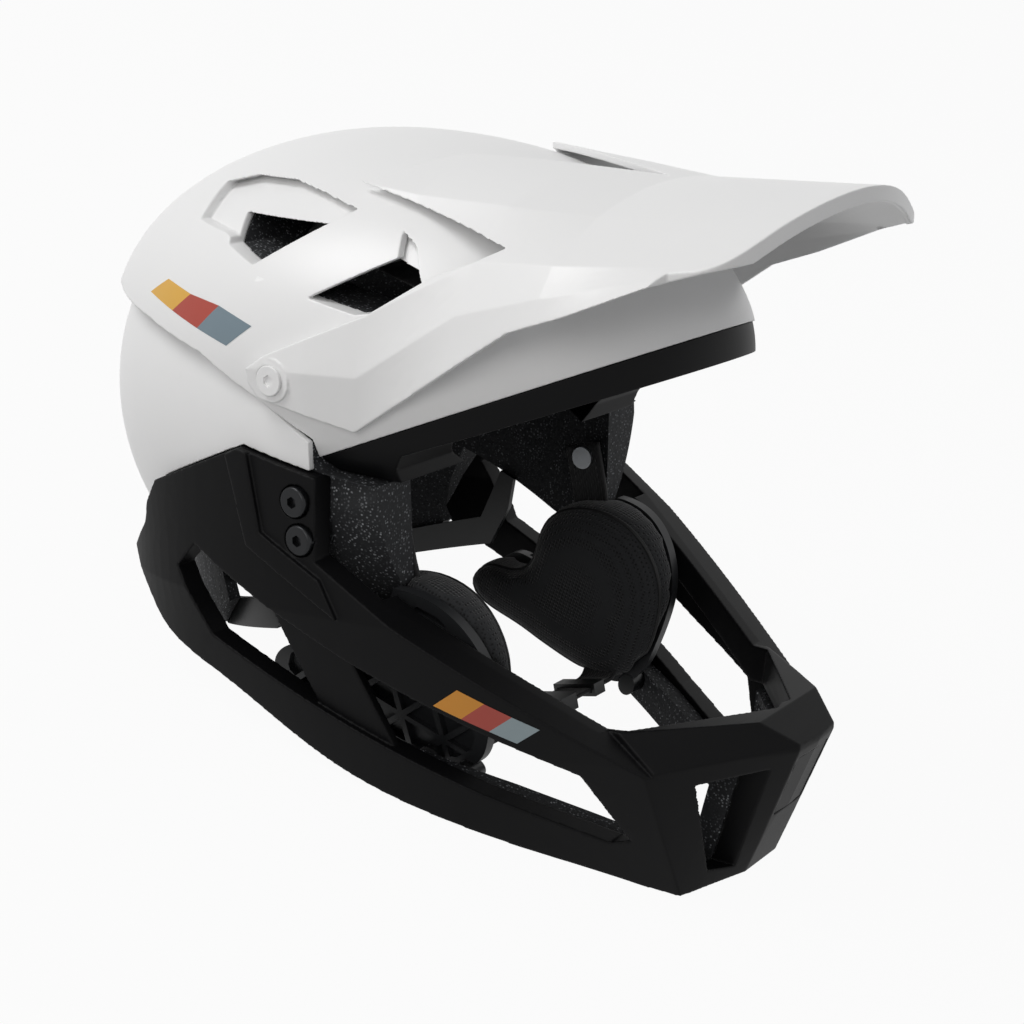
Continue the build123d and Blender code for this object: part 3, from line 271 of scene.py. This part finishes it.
finishes = {
    # satin white paint on a moulded shell: soft wide highlights, a clean cool white
    "whitePaint": {
        "colour": "F4F4F4", "shade": "F0F0F0", "cloud": 0.09, "grain": 0.0011, "fineStrength": 0.04,
        "fineDepth": 0.0001, "rough": 0.36, "roughSpread": 0.03, "coat": 0.12, "coatRough": 0.32,
    },
    # black nylon from a spark eroded mould: deep and dull, only its facets' edges catch the light
    "blackNylon": {
        "colour": "050506", "shade": "080809", "cloud": 0.06, "grain": 0.0006, "fineStrength": 0.14,
        "fineDepth": 0.0001, "rough": 0.48, "roughSpread": 0.05, "ior": 1.53, "gloss": 0.09,
    },
    # soft black edge of the face opening, smoother than the guard
    "rubberTrim": {
        "colour": "060607", "shade": "09090A", "cloud": 0.05, "grain": 0.0008, "fineStrength": 0.1,
        "fineDepth": 0.0001, "rough": 0.48, "roughSpread": 0.06, "ior": 1.52, "gloss": 0.1,
    },
    # expanded polystyrene: charcoal, with fine pale specks of painted sparkle all over it
    "beadFoam": {
        "colour": "141517", "shade": "1C1D1F", "paintedSparkleAndShade": "A9ACB0", "cloud": 0.03, "grain": 0.0007,
        "fineStrength": 0.3, "fineDepth": 0.0002, "rough": 0.75, "roughSpread": 0.05,
        "bead": 0.0032, "strength": 0.5, "depth": 0.0005, "paintedSparkleSize": 0.0011, "paintedSparklePower": 3.5,
        "paintedSparkleCore": 0.15, "paintedSparkleEdge": 0.5, "gloss": 0.3,
    },
    # knitted spacer mesh of the cheek pads: rows of tiny holes, darkened with painted shade, between dull
    # threads
    "spacerMesh": {
        "colour": "232426", "shade": "2B2C2E", "paintedSparkleAndShade": "050506", "cloud": 0.04, "grain": 0.0004,
        "fineStrength": 0.2, "fineDepth": 0.0001, "rough": 0.85, "roughSpread": 0.04,
        "stitch": 0.0016, "loose": 0.1, "holeCore": 0.2, "holeEdge": 0.45, "strength": 0.8,
        "depth": 0.0004, "sheen": 0.2, "gloss": 0.25,
    },
    # brushed lining knit: a soft nap that greys at the rim
    "brushedKnit": {
        "colour": "121314", "shade": "1B1C1E", "cloud": 0.03, "grain": 0.0004, "fineStrength": 0.3,
        "fineDepth": 0.0002, "rough": 0.9, "roughSpread": 0.04, "fibre": 0.0009, "fibreDetail": 5.0,
        "fibreRough": 0.7, "brush": (1.0, 4.0, 1.0), "strength": 0.5, "depth": 0.0003,
        "sheen": 0.35, "gloss": 0.2,
    },
    # bound seam: a smooth narrow tape, a little shinier than the mesh
    "seamTape": {
        "colour": "0C0C0D", "shade": "131314", "cloud": 0.02, "grain": 0.0004, "fineStrength": 0.25,
        "fineDepth": 0.0001, "rough": 0.6, "roughSpread": 0.05, "gloss": 0.3,
    },
    # polyester webbing: slanted threads with a faint silky light
    "strapTwill": {
        "colour": "0D0D0E", "shade": "161617", "cloud": 0.02, "grain": 0.0004, "fineStrength": 0.3,
        "fineDepth": 0.0001, "rough": 0.7, "roughSpread": 0.05, "thread": 0.006, "threadBend": 0.3,
        "pick": 0.004, "pickBend": 0.2, "coords": "UV", "strength": 0.7, "depth": 0.0003,
        "sheen": 0.15, "gloss": 0.3,
    },
    # bonded sewing thread, a shade lighter than the webbing
    "blackThread": {
        "colour": "1A1A1B", "shade": "242425", "cloud": 0.01, "grain": 0.0003, "fineStrength": 0.3,
        "fineDepth": 0.0001, "rough": 0.55, "roughSpread": 0.05,
    },
    # acetal of the buckle and the dial: clean satin black
    "mouldedAcetal": {
        "colour": "101112", "shade": "171819", "cloud": 0.02, "grain": 0.0005, "fineStrength": 0.1,
        "fineDepth": 0.0001, "rough": 0.38, "roughSpread": 0.05, "ior": 1.48, "gloss": 0.4,
    },
    # polypropylene plate behind the cheek pad: waxy dark grey
    "platePolypropylene": {
        "colour": "161719", "shade": "1E1F21", "cloud": 0.02, "grain": 0.0006, "fineStrength": 0.15,
        "fineDepth": 0.0001, "rough": 0.5, "roughSpread": 0.05, "ior": 1.49, "gloss": 0.35,
    },
    # turned aluminium of the inserts and rivets: bright, with tool marks
    "turnedAluminium": {
        "colour": "B9BCBF", "shade": "A4A8AC", "cloud": 0.01, "grain": 0.0004, "fineStrength": 0.15,
        "fineDepth": 0.0001, "rough": 0.34, "roughSpread": 0.06, "metal": 1.0,
    },
    # black anodised screws: metal glints on the rim and in the socket
    "anodisedBlack": {
        "colour": "17181A", "shade": "1F2022", "cloud": 0.01, "grain": 0.0004, "fineStrength": 0.1,
        "fineDepth": 0.0001, "rough": 0.32, "roughSpread": 0.04, "metal": 0.6,
    },
}
# screen printed stripes: flat warm yellow, brick red and slate, slightly glossier than the shell
inks = {
    "yellow": ("E3B04A", "DDA943"), "orange": ("DD952F", "D68E2A"),
    "red": ("B2483A", "AA4134"), "slate": ("7A8B95", "73848E"), "mist": ("9AA9AE", "93A2A7"),
}
for ink, (colour, shade) in inks.items():
    finishes[ink + "Ink"] = {
        "colour": colour, "shade": shade, "cloud": 0.02, "grain": 0.0008, "fineStrength": 0.05,
        "fineDepth": 0.0001, "rough": 0.4, "roughSpread": 0.03,
    }
patterns = {"beadFoam": beads, "spacerMesh": knit, "brushedKnit": brushed, "strapTwill": twill}
materials = {name: surface(name, look, patterns.get(name)) for name, look in finishes.items()}
print("materials made:", len(materials))


def pieceFrom(name, mesh):
    piece = bpy.data.objects.new(name, mesh)
    bpy.context.collection.objects.link(piece)
    return piece


def meshOf(shape, name):
    mesh = bpy.data.meshes.new(name)
    shape.to_mesh(mesh)
    shape.free()
    return pieceFrom(name, mesh)


def bake(piece):
    # applies the piece's modifiers
    graph = bpy.context.evaluated_depsgraph_get()
    mesh = bpy.data.meshes.new_from_object(piece.evaluated_get(graph))
    piece.modifiers.clear()
    piece.data = mesh
    return piece


def copyOf(node, name, merge=0.00002):
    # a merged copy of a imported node, to be refined
    shape = bmesh.new()
    shape.from_mesh(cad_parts[node].data)
    bmesh.ops.remove_doubles(shape, verts=shape.verts, dist=merge)
    return meshOf(shape, name)


def refine(piece, plan):
    # even fine quads, edges eased over a cell or two, then thinned to a fair number of triangles
    even = piece.modifiers.new("even", "REMESH")
    even.mode = plan["mode"]
    even.octree_depth = plan["cells"]
    even.scale = plan["fill"]
    even.use_remove_disconnected = False
    ease = piece.modifiers.new("ease", "SMOOTH")
    ease.factor = plan["ease"]
    ease.iterations = plan["passes"]
    bake(piece)
    triangles = sum(len(face.vertices) - 2 for face in piece.data.polygons)
    if triangles > plan["triangles"]:
        thin = piece.modifiers.new("thin", "DECIMATE")
        thin.ratio = plan["triangles"] / triangles
        bake(piece)
    return piece


def dress(piece, body, finish, nodes=()):
    piece.data.materials.clear()
    piece.data.materials.append(materials[finish])
    piece.data.shade_smooth()
    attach(piece, body)
    if nodes:
        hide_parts(*nodes)
    return piece


def snapToEgg(piece, egg, plan):
    # vertices near an egg surface of that depth settle on it, and eased edges stay
    centre = Vector(egg["centre"])
    for vertex in piece.data.vertices:
        offset = toWorn @ vertex.co - centre
        ahead = egg["front"] if offset.y < 0 else egg["rear"]
        for depth in egg["depths"]:
            radii = (egg["side"] - depth, ahead - depth, egg["rise"] - depth)
            size = math.sqrt(sum((offset[axis] / radii[axis]) ** 2 for axis in range(3)))
            away = abs(size - 1) * offset.length / size
            if away < plan["reach"]:
                weight = min(1, (plan["reach"] - away) / (plan["reach"] - plan["hold"]))
                vertex.co = toFrame @ (centre + offset * (1 + weight * (1 / size - 1)))
                break


# Upper and rear shell: two thin eggs of white paint, crisp at the vents
shell = {
    "upper": {
        "centre": (0, 59.84, 42.05), "side": 110.0, "front": 160.0, "rear": 131.5, "rise": 84.0,
        "depths": (0.0, 3.0, 4.0, 7.0),
    },
    "rear": {
        "centre": (0, 59.84, 14.98), "side": 108.0, "front": 150.0, "rear": 132.0, "rise": 111.0,
        "depths": (0.0, 3.0),
    },
    "snap": {"hold": 0.3, "reach": 0.6},
    "mesh": {"mode": "SMOOTH", "cells": 9, "fill": 0.95, "ease": 0.5, "passes": 7, "triangles": 190000},
}
upperShell = refine(copyOf("outer_shell", "upperShell"), shell["mesh"])
snapToEgg(upperShell, shell["upper"], shell["snap"])
dress(upperShell, "helmet", "whitePaint", ["outer_shell"])
rearShell = refine(copyOf("lower_shell", "rearShell"), shell["mesh"])
snapToEgg(rearShell, shell["rear"], shell["snap"])
dress(rearShell, "helmet", "whitePaint", ["lower_shell"])
print("shells:", len(upperShell.data.polygons), len(rearShell.data.polygons))

# Peak: thin white moulding with creased wings
peakPlan = {"mode": "SMOOTH", "cells": 9, "fill": 0.95, "ease": 0.5, "passes": 2, "triangles": 190000}
peak = refine(copyOf("visor", "peakShell"), peakPlan)
dress(peak, "peak", "whitePaint", ["visor"])
print("peak:", len(peak.data.polygons))

# Chin bar: black nylon with broad bevels
guardPlan = {"mode": "SMOOTH", "cells": 9, "fill": 0.95, "ease": 0.5, "passes": 3, "triangles": 190000}
guard = refine(copyOf("chin_guard", "chinBar"), guardPlan)
dress(guard, "helmet", "blackNylon", ["chin_guard"])
print("guard:", len(guard.data.polygons))

# Brow band: soft black edge under the white shell
browPlan = {"mode": "SMOOTH", "cells": 9, "fill": 0.95, "ease": 0.5, "passes": 3, "triangles": 120000}
browBand = refine(copyOf("brow_trim", "browBand"), browPlan)
dress(browBand, "helmet", "rubberTrim", ["brow_trim"])
print("brow band:", len(browBand.data.polygons))


def treeOf(piece):
    mesh = piece.data
    places = [vertex.co for vertex in mesh.vertices]
    return BVHTree.FromPolygons(places, [face.vertices for face in mesh.polygons])


def printPatch(name, tree, upper, lower, plan):
    # printed patch laid on a surface: a grid between two edges, in worn millimetres
    shape = bmesh.new()
    rows = []
    for row in range(plan["rows"] + 1):
        line = []
        for column in range(plan["columns"] + 1):
            across = column / plan["columns"]
            top = upper[0].lerp(upper[1], across)
            base = lower[0].lerp(lower[1], across)
            spot, normal, _, _ = tree.find_nearest(toFrame @ top.lerp(base, row / plan["rows"]))
            line.append(shape.verts.new(spot + normal * plan["lift"]))
        rows.append(line)
    for first, second in zip(rows, rows[1:]):
        for column in range(plan["columns"]):
            shape.faces.new((first[column], second[column], second[column + 1], first[column + 1]))
    shape.normal_update()
    shape.faces.ensure_lookup_table()
    outward = tree.find_nearest(shape.faces[0].calc_center_median())[1]
    if shape.faces[0].normal.dot(outward) < 0:
        bmesh.ops.reverse_faces(shape, faces=shape.faces)
    return meshOf(shape, name)


# Stripes: three touching patches on each flank of the shell and of the chin bar
stripes = {
    "grid": {"columns": 10, "rows": 8, "lift": 0.00012},
    "shellStripe": {
        "on": upperShell, "slot": "shell_white", "inks": ("yellow", "red", "slate"),
        "upper": ((-96.9, 101.5, 71.6), (-102.6, 84.4, 67.9), (-105.5, 67.0, 65.4), (-107.3, 48.9, 59.5)),
        "lower": ((-96.0, 112.6, 65.4), (-103.4, 93.9, 60.6), (-107.5, 77.1, 55.9), (-109.4, 60.5, 51.1)),
    },
    "guardStripe": {
        "on": guard, "slot": "guard_black", "inks": ("orange", "red", "mist"),
        "upper": ((-94.2, -36.8, -72.9), (-90.3, -46.6, -77.6), (-86.2, -56.6, -82.1), (-82.0, -66.5, -86.3)),
        "lower": ((-94.9, -25.9, -81.3), (-91.1, -36.3, -85.7), (-87.1, -46.6, -89.8), (-82.8, -56.6, -93.8)),
    },
}
for group in ("shellStripe", "guardStripe"):
    plan = stripes[group]
    ground = treeOf(plan["on"])
    for side, flip in sides.items():
        for index, ink in enumerate(plan["inks"]):
            ends = []
            for edge in ("upper", "lower"):
                places = plan[edge][index:index + 2]
                ends.append([Vector((place[0] * flip, place[1], place[2])) for place in places])
            patch = printPatch(group + "_" + ink + "_" + side, ground, *ends, stripes["grid"])
            dress(patch, "helmet", ink + "Ink")
print("stripes printed")

# Carried over nodes: crisp mouldings, foam and hardware get their finishes
finishOf = {
    "crown_liner": "beadFoam",
    "rear_liner": "beadFoam",
    "chin_guard_liner": "beadFoam",
    "neck_trim": "rubberTrim",
    "nose_plate": "blackNylon",
    "guard_screws": "anodisedBlack",
    "guard_inserts": "turnedAluminium",
    "visor_screws": "whitePaint",
    "visor_washers": "rubberTrim",
    "visor_inserts": "turnedAluminium",
    "cheek_plate_left": "platePolypropylene",
    "cheek_plate_right": "platePolypropylene",
    "pad_snaps": "mouldedAcetal",
    "fit_cradle": "mouldedAcetal",
    "fit_dial": "mouldedAcetal",
    "strap_anchors": "turnedAluminium",
    "strap_keeper": "mouldedAcetal",
    "buckle_socket": "mouldedAcetal",
    "buckle_tongue": "mouldedAcetal",
    "buckle_button": "mouldedAcetal",
}
for node, finish in finishOf.items():
    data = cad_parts[node].data
    data.materials.clear()
    data.materials.append(materials[finish])


def inflate(piece, plan, centre):
    # sewn cover swelling over its foam: cloth pressure, the seat side held, each point's travel capped
    mesh = piece.data
    held = piece.vertex_groups.new(name="seat")
    for vertex in mesh.vertices:
        outward = Vector((math.copysign(1, vertex.co.x), 0, 0))
        if plan["round"]:
            outward = (vertex.co - centre).normalized()
        if vertex.normal.dot(outward) > plan["seatShare"]:
            held.add([vertex.index], 1.0, "REPLACE")
    start = [vertex.co - vertex.normal * plan["shrink"] for vertex in mesh.vertices]
    for vertex, place in zip(mesh.vertices, start):
        vertex.co = place
    cover = piece.modifiers.new("cover", "CLOTH")
    cover.settings.use_pressure = True
    cover.settings.uniform_pressure_force = plan["pressure"]
    cover.settings.effector_weights.gravity = 0
    cover.settings.quality = plan["quality"]
    cover.settings.tension_stiffness = plan["tension"]
    cover.settings.bending_stiffness = plan["bending"]
    cover.settings.vertex_group_mass = held.name
    cover.point_cache.frame_start = 1
    cover.point_cache.frame_end = plan["frames"]
    for step in range(1, plan["frames"] + 1):
        bpy.context.scene.frame_set(step)
    bake(piece)
    for vertex, place in zip(piece.data.vertices, start):
        travel = vertex.co - place
        if travel.length > plan["cap"]:
            vertex.co = place + travel.normalized() * plan["cap"]
    bpy.context.scene.frame_set(1)
    return piece


# Pads: knitted covers over foam, swollen by cloth pressure, then one subdivision
padPlans = {
    "cheek": {
        "voxel": 0.004, "pressure": 4.0, "shrink": 0.0012, "cap": 0.003, "frames": 14, "quality": 5,
        "tension": 15.0, "bending": 0.5, "round": False, "seatShare": 0.75, "finish": "spacerMesh",
    },
    "lining": {
        "voxel": 0.0045, "pressure": 3.0, "shrink": 0.0011, "cap": 0.002, "frames": 10, "quality": 4,
        "tension": 15.0, "bending": 0.5, "round": True, "seatShare": 0.6, "finish": "brushedKnit",
    },
}
padNodes = {
    "cheek": ("cheek_pad_left", "cheek_pad_right"),
    "lining": (
        "brow_pad", "crown_pad_centre", "crown_pad_left", "crown_pad_right", "nape_pad_left", "nape_pad_right",
    ),
}
headCentre = toFrame @ Vector((0, 48.96, 42.05))
covers = {}
for kind, nodes in padNodes.items():
    plan = padPlans[kind]
    for node in nodes:
        cover = copyOf(node, node.replace("_pad", "Cover"))
        even = cover.modifiers.new("even", "REMESH")
        even.mode = "VOXEL"
        even.voxel_size = plan["voxel"]
        ease = cover.modifiers.new("ease", "SMOOTH")
        ease.iterations = 3
        bake(cover)
        inflate(cover, plan, headCentre)
        rounded = cover.modifiers.new("rounded", "SUBSURF")
        rounded.levels = rounded.render_levels = 1
        bake(cover)
        covers[node] = dress(cover, "helmet", plan["finish"], [node])
    print("covers:", kind)


def seamLoop(name, piece, point, normal, plan):
    # round seam where a plane cuts the piece: the cut's longest loop, resampled, carries a thin tube
    shape = bmesh.new()
    shape.from_mesh(piece.data)
    geometry = shape.verts[:] + shape.edges[:] + shape.faces[:]
    cut = bmesh.ops.bisect_plane(shape, geom=geometry, plane_co=point, plane_no=normal)["geom_cut"]
    shape.edges.index_update()
    edges = {edge.index: edge for edge in cut if isinstance(edge, bmesh.types.BMEdge)}
    loops = []
    while edges:
        edge = edges.pop(min(edges))
        loop = [edge.verts[0], edge.verts[1]]
        while True:
            ahead = next((link for link in loop[-1].link_edges if link.index in edges), None)
            if ahead is None:
                break
            edges.pop(ahead.index)
            loop.append(ahead.other_vert(loop[-1]))
        loops.append([vert.co.copy() for vert in loop])
    shape.free()
    loop = max(loops, key=len)
    if (loop[0] - loop[-1]).length < plan["pitch"]:
        loop.pop()
    spaced = [loop[0]]
    for place in loop:
        if (place - spaced[-1]).length > plan["pitch"]:
            spaced.append(place)
    middle = sum(spaced, Vector()) / len(spaced)
    tube = bmesh.new()
    rings = []
    for index, place in enumerate(spaced):
        along = (spaced[(index + 1) % len(spaced)] - spaced[index - 1]).normalized()
        out = (place - middle) - along * (place - middle).dot(along)
        out.normalize()
        side = along.cross(out)
        ring = []
        for corner in range(plan["corners"]):
            angle = corner * math.tau / plan["corners"]
            offset = out * math.cos(angle) + side * math.sin(angle)
            ring.append(tube.verts.new(place + offset * plan["radius"]))
        rings.append(ring)
    for index, ring in enumerate(rings):
        ahead = rings[(index + 1) % len(rings)]
        for corner in range(plan["corners"]):
            after = (corner + 1) % plan["corners"]
            tube.faces.new((ring[corner], ring[after], ahead[after], ahead[corner]))
    bmesh.ops.recalc_face_normals(tube, faces=tube.faces)
    return meshOf(tube, name)


# Seams: a bound edge runs round each cheek pad between its face and its side
seam = {"depth": 58.0, "pitch": 0.002, "corners": 8, "radius": 0.0009}
for side, flip in sides.items():
    opposite = toFrame @ Vector((-flip * seam["depth"], 0, 0))
    cheekSeam = seamLoop("cheekSeam_" + side, covers["cheek_pad_" + side], opposite, Vector((1, 0, 0)), seam)
    dress(cheekSeam, "helmet", "seamTape")
print("seams sewn")


def roundedRoute(points, radii, steps):
    # flat route with an arc in each corner
    route = [points[0]]
    for before, corner, after, radius in zip(points, points[1:], points[2:], radii):
        back = (before - corner).normalized()
        ahead = (after - corner).normalized()
        halfTurn = back.angle(ahead) / 2
        reach = radius / math.tan(halfTurn)
        start = corner + back * reach
        end = corner + ahead * reach
        centre = corner + (back + ahead).normalized() * (radius / math.sin(halfTurn))
        for step in range(steps + 1):
            arm = (start - centre).lerp(end - centre, step / steps).normalized() * radius
            route.append(centre + arm)
    return route + [points[-1]]


# Chin straps: flat webbing with raised selvedges, from the rivet to the buckle
strap = {
    "foot": (0.0, -8.0, -118.0),
    "lean": 11.9,
    "route": ((70.0, 104.0), (70.0, 83.5), (63.0, 13.2), (52.0, 0.0), (18.0, 0.0)),
    "bends": (20.0, 16.0, 10.0),
    "steps": 8,
    "span": 2.5,
    # half of the section: distance across from the middle, then half thickness
    "section": ((9.0, 0.3), (8.8, 0.7), (8.3, 0.9), (7.4, 0.9), (7.0, 0.74), (3.5, 0.76), (0.0, 0.77)),
}
lean = math.radians(strap["lean"])
strapUp = Vector((0, math.sin(lean), math.cos(lean)))
strapWide = Vector((0, -math.cos(lean), math.sin(lean)))
half = list(strap["section"])
top = half + [(-wide, thick) for wide, thick in half[-2::-1]]
section = top + [(wide, -thick) for wide, thick in reversed(top)]


def strapPlace(flat, wide, flip):
    # a place in the strap's plane, moved across its width, in worn millimetres
    return Vector(strap["foot"]) + Vector((-flip * flat.x, 0, 0)) + strapUp * flat.y + strapWide * wide


def ribbon(name, flip):
    corners = [Vector(point) for point in strap["route"]]
    rough = roundedRoute(corners, strap["bends"], strap["steps"])
    route = [rough[0]]
    for place in rough[1:]:
        gap = (place - route[-1]).length
        count = max(1, round(gap / strap["span"]))
        last = route[-1]
        route += [last.lerp(place, step / count) for step in range(1, count + 1)]
    shape = bmesh.new()
    layer = shape.loops.layers.uv.new("weave")
    rings = []
    travelled = 0.0
    lengths = []
    for index, place in enumerate(route):
        along = (route[min(index + 1, len(route) - 1)] - route[max(index - 1, 0)]).normalized()
        across = Vector((-along.y, along.x))
        if index:
            travelled += (place - route[index - 1]).length
        lengths.append(travelled)
        ring = []
        for wide, thick in section:
            ring.append(shape.verts.new(toFrame @ strapPlace(place + across * thick, wide, flip)))
        rings.append(ring)
    count = len(section)
    scale = stand["millimetre"]
    for index in range(len(rings) - 1):
        for corner in range(count):
            after = (corner + 1) % count
            ring, ahead = rings[index], rings[index + 1]
            face = shape.faces.new((ring[corner], ring[after], ahead[after], ahead[corner]))
            widths = (section[corner][0], section[after][0], section[after][0], section[corner][0])
            steps = (lengths[index], lengths[index], lengths[index + 1], lengths[index + 1])
            for loop, width, step in zip(face.loops, widths, steps):
                loop[layer].uv = (step * scale, width * scale)
    shape.faces.new(rings[0])
    shape.faces.new(reversed(rings[-1]))
    bmesh.ops.recalc_face_normals(shape, faces=shape.faces)
    return meshOf(shape, name)


# Stitching: two rows of short threads below the rivet and above the buckle
stitching = {
    "length": 2.2, "gap": 3.2, "rows": (-6.0, 6.0), "runs": ((96.0, 84.0), (40.0, 20.0)), "lift": 0.92,
    "thick": 0.28,
}


def alongRoute(level):
    # the place and the direction of the strap's route at that height in its plane
    corners = [Vector(point) for point in strap["route"]]
    for start, end in zip(corners, corners[1:]):
        if end.y <= level <= start.y and start.y > end.y:
            place = start.lerp(end, (start.y - level) / (start.y - end.y))
            return place, (end - start).normalized()


def threads(name, flip):
    shape = bmesh.new()
    size = (stitching["length"] / 2, stitching["thick"], stitching["thick"])
    grain = Matrix.Scale(stand["millimetre"], 4) @ Matrix.Diagonal((*size, 1))
    for first, last in stitching["runs"]:
        level = first
        while level > last:
            place, along = alongRoute(level)
            across = Vector((-along.y, along.x))
            way = (Vector((-flip * along.x, 0, 0)) + strapUp * along.y).normalized()
            laid = (turn @ way).to_track_quat("X", "Z").to_matrix().to_4x4() @ grain
            for facing in (1, -1):
                for wide in stitching["rows"]:
                    worn = strapPlace(place + across * stitching["lift"] * facing, wide, flip)
                    spot = Matrix.Translation(toFrame @ worn) @ laid
                    bmesh.ops.create_icosphere(shape, subdivisions=1, radius=1, matrix=spot)
            level -= stitching["gap"]
    return meshOf(shape, name)


for side, flip in sides.items():
    band = ribbon("chinStrap_" + side, flip)
    dress(band, "helmet", "strapTwill", ["strap_" + side])
    sewing = threads("strapStitching_" + side, flip)
    dress(sewing, "helmet", "blackThread")
print("straps laid")
